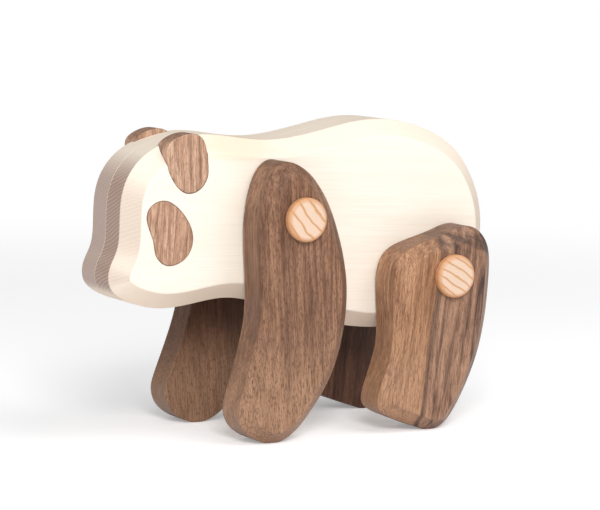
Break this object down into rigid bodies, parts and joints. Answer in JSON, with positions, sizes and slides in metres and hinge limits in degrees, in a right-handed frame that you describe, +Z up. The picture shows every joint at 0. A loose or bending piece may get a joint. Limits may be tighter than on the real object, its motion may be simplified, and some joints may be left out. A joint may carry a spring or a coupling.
{
  "type": "jointed wooden panda figurine",
  "caption": "Standing panda toy sawn from two glued maple boards, with walnut ears and eye patches let in and walnut legs that swing on headed pegs.",
  "frame": {"origin": "centre of the object's box, on the floor that the feet stand on", "axes": "+X from nose to tail, +Y to the panda's right side, +Z up"},
  "size_m": [0.1631, 0.079, 0.1192],
  "materials": {
    "body_left": "maple, sanded and lightly oiled",
    "body_right": "maple, sanded and lightly oiled",
    "inlay": "walnut, sanded and lightly oiled",
    "ear": "walnut, sanded and lightly oiled",
    "leg": "walnut, sanded and lightly oiled",
    "peg": "beech, turned and sanded"
  },
  "bodies": {
    "body": {"body_left_board": "body_left", "body_right_board": "body_right", "left_eye_patch": "inlay", "right_eye_patch": "inlay", "left_ear": "ear", "right_ear": "ear", "front_left_peg": "peg", "front_right_peg": "peg", "rear_left_peg": "peg", "rear_right_peg": "peg"},
    "front_left": {"front_left_leg": "leg"},
    "front_right": {"front_right_leg": "leg"},
    "rear_left": {"rear_left_leg": "leg"},
    "rear_right": {"rear_right_leg": "leg"}
  },
  "joints": [
    {"name": "front_left_swing", "type": "hinge", "parent": "body", "child": "front_left", "pos_m": [-0.0127, -0.027, 0.0844], "axis": [0, 1, 0], "range_deg": [-12, 180]},
    {"name": "front_right_swing", "type": "hinge", "parent": "body", "child": "front_right", "pos_m": [-0.0127, 0.027, 0.0844], "axis": [0, 1, 0], "range_deg": [-16, 175]},
    {"name": "rear_left_swing", "type": "hinge", "parent": "body", "child": "rear_left", "pos_m": [0.0533, -0.027, 0.0601], "axis": [0, 1, 0], "range_deg": [-160, 8]},
    {"name": "rear_right_swing", "type": "hinge", "parent": "body", "child": "rear_right", "pos_m": [0.0533, 0.027, 0.0601], "axis": [0, 1, 0], "range_deg": [-158, 9]}
  ]
}
